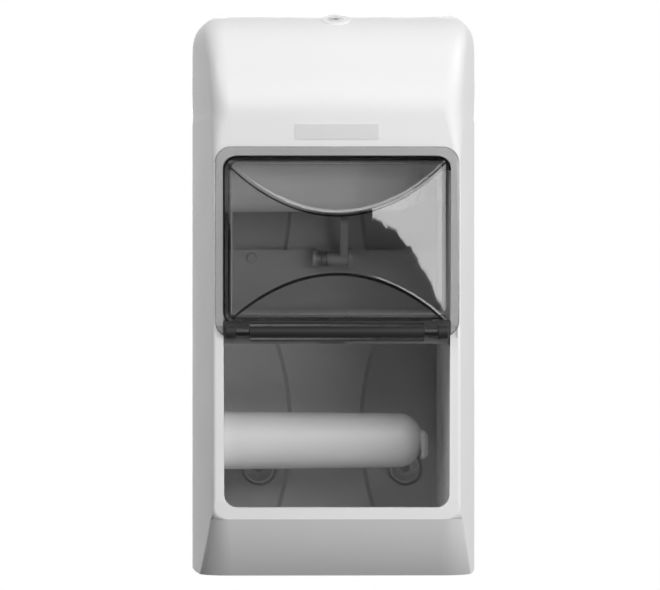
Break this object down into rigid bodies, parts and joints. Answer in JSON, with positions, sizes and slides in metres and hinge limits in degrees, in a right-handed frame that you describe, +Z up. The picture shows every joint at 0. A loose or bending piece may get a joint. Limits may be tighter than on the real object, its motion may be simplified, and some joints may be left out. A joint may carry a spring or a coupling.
{
  "type": "double roll toilet paper dispenser",
  "caption": "Wall dispenser for toilet rolls held one above another on side arms, with a white hinged cover, a smoked flip flap over the upper roll and an open lower bay.",
  "frame": {"origin": "centre of the wall screw pattern, on the wall plane at the back of the back plate", "axes": "+X to the right seen from the front, -Y out of the wall toward the user, +Z up"},
  "size_m": [0.1562, 0.1668, 0.3014],
  "materials": {
    "cover_white": "satin moulded ABS",
    "strip_grey": "satin",
    "inner_grey": "fine moulded texture",
    "bar_grey": "fine moulded texture",
    "smoke_clear": "smoked transparent plastic",
    "smoke_dark": "smoked plastic, polished",
    "roller_white": "satin moulded",
    "arm_white": "matt moulded",
    "lock_grey": "satin",
    "lock_metal": "die cast",
    "steel": "zinc plated"
  },
  "bodies": {
    "chassis": {"back_plate": "inner_grey", "cover_hinge_pins": "steel", "side_wall": "inner_grey", "side_wall_screws": "steel", "upper_arm": "arm_white", "lower_arm": "arm_white", "upper_clip": "arm_white", "lower_clip": "arm_white", "arm_screws": "steel", "mid_divider": "inner_grey", "divider_screws": "steel", "brake_bracket": "inner_grey", "brake_pin": "steel", "brake_spring": "steel", "lock_catch": "inner_grey", "catch_screws": "steel"},
    "cover": {"front_cover": "cover_white", "blank_nameplate": "strip_grey", "cover_liner": "inner_grey", "liner_screws": "steel", "hinge_crossbar": "bar_grey", "crossbar_screws": "steel", "hinge_barrel": "smoke_dark", "flap_hinge_rod": "steel", "lock_collar": "lock_grey", "lock_nut": "steel"},
    "flap": {"flap_window": "smoke_clear"},
    "upper_roller": {"upper_roller": "roller_white"},
    "lower_roller": {"lower_roller": "roller_white"},
    "brake_lever": {"brake_lever": "arm_white"},
    "lock": {"lock_barrel": "lock_metal", "lock_cam": "lock_metal", "cam_screw": "steel"}
  },
  "joints": [
    {"name": "cover_hinge", "type": "hinge", "parent": "chassis", "child": "cover", "pos_m": [0, -0.016, -0.144], "axis": [1, 0, 0], "range_deg": [0, 90]},
    {"name": "flap_hinge", "type": "hinge", "parent": "cover", "child": "flap", "pos_m": [0, -0.15155, -0.0203], "axis": [1, 0, 0], "range_deg": [0, 180]},
    {"name": "upper_roller_turn", "type": "hinge", "parent": "chassis", "child": "upper_roller", "pos_m": [0, -0.075, 0.06], "axis": [1, 0, 0], "continuous": true},
    {"name": "lower_roller_turn", "type": "hinge", "parent": "chassis", "child": "lower_roller", "pos_m": [0, -0.075, -0.08], "axis": [1, 0, 0], "continuous": true},
    {"name": "brake_pivot", "type": "hinge", "parent": "chassis", "child": "brake_lever", "pos_m": [0, -0.0165, 0.0195], "axis": [1, 0, 0], "range_deg": [-35, 0], "stiffness_Nm_per_rad": 0.004, "springref_deg": 28.65},
    {"name": "lock_turn", "type": "hinge", "parent": "cover", "child": "lock", "pos_m": [0, -0.11278, 0.14715], "axis": [0, 0.3584, -0.9336], "range_deg": [0, 90]}
  ]
}
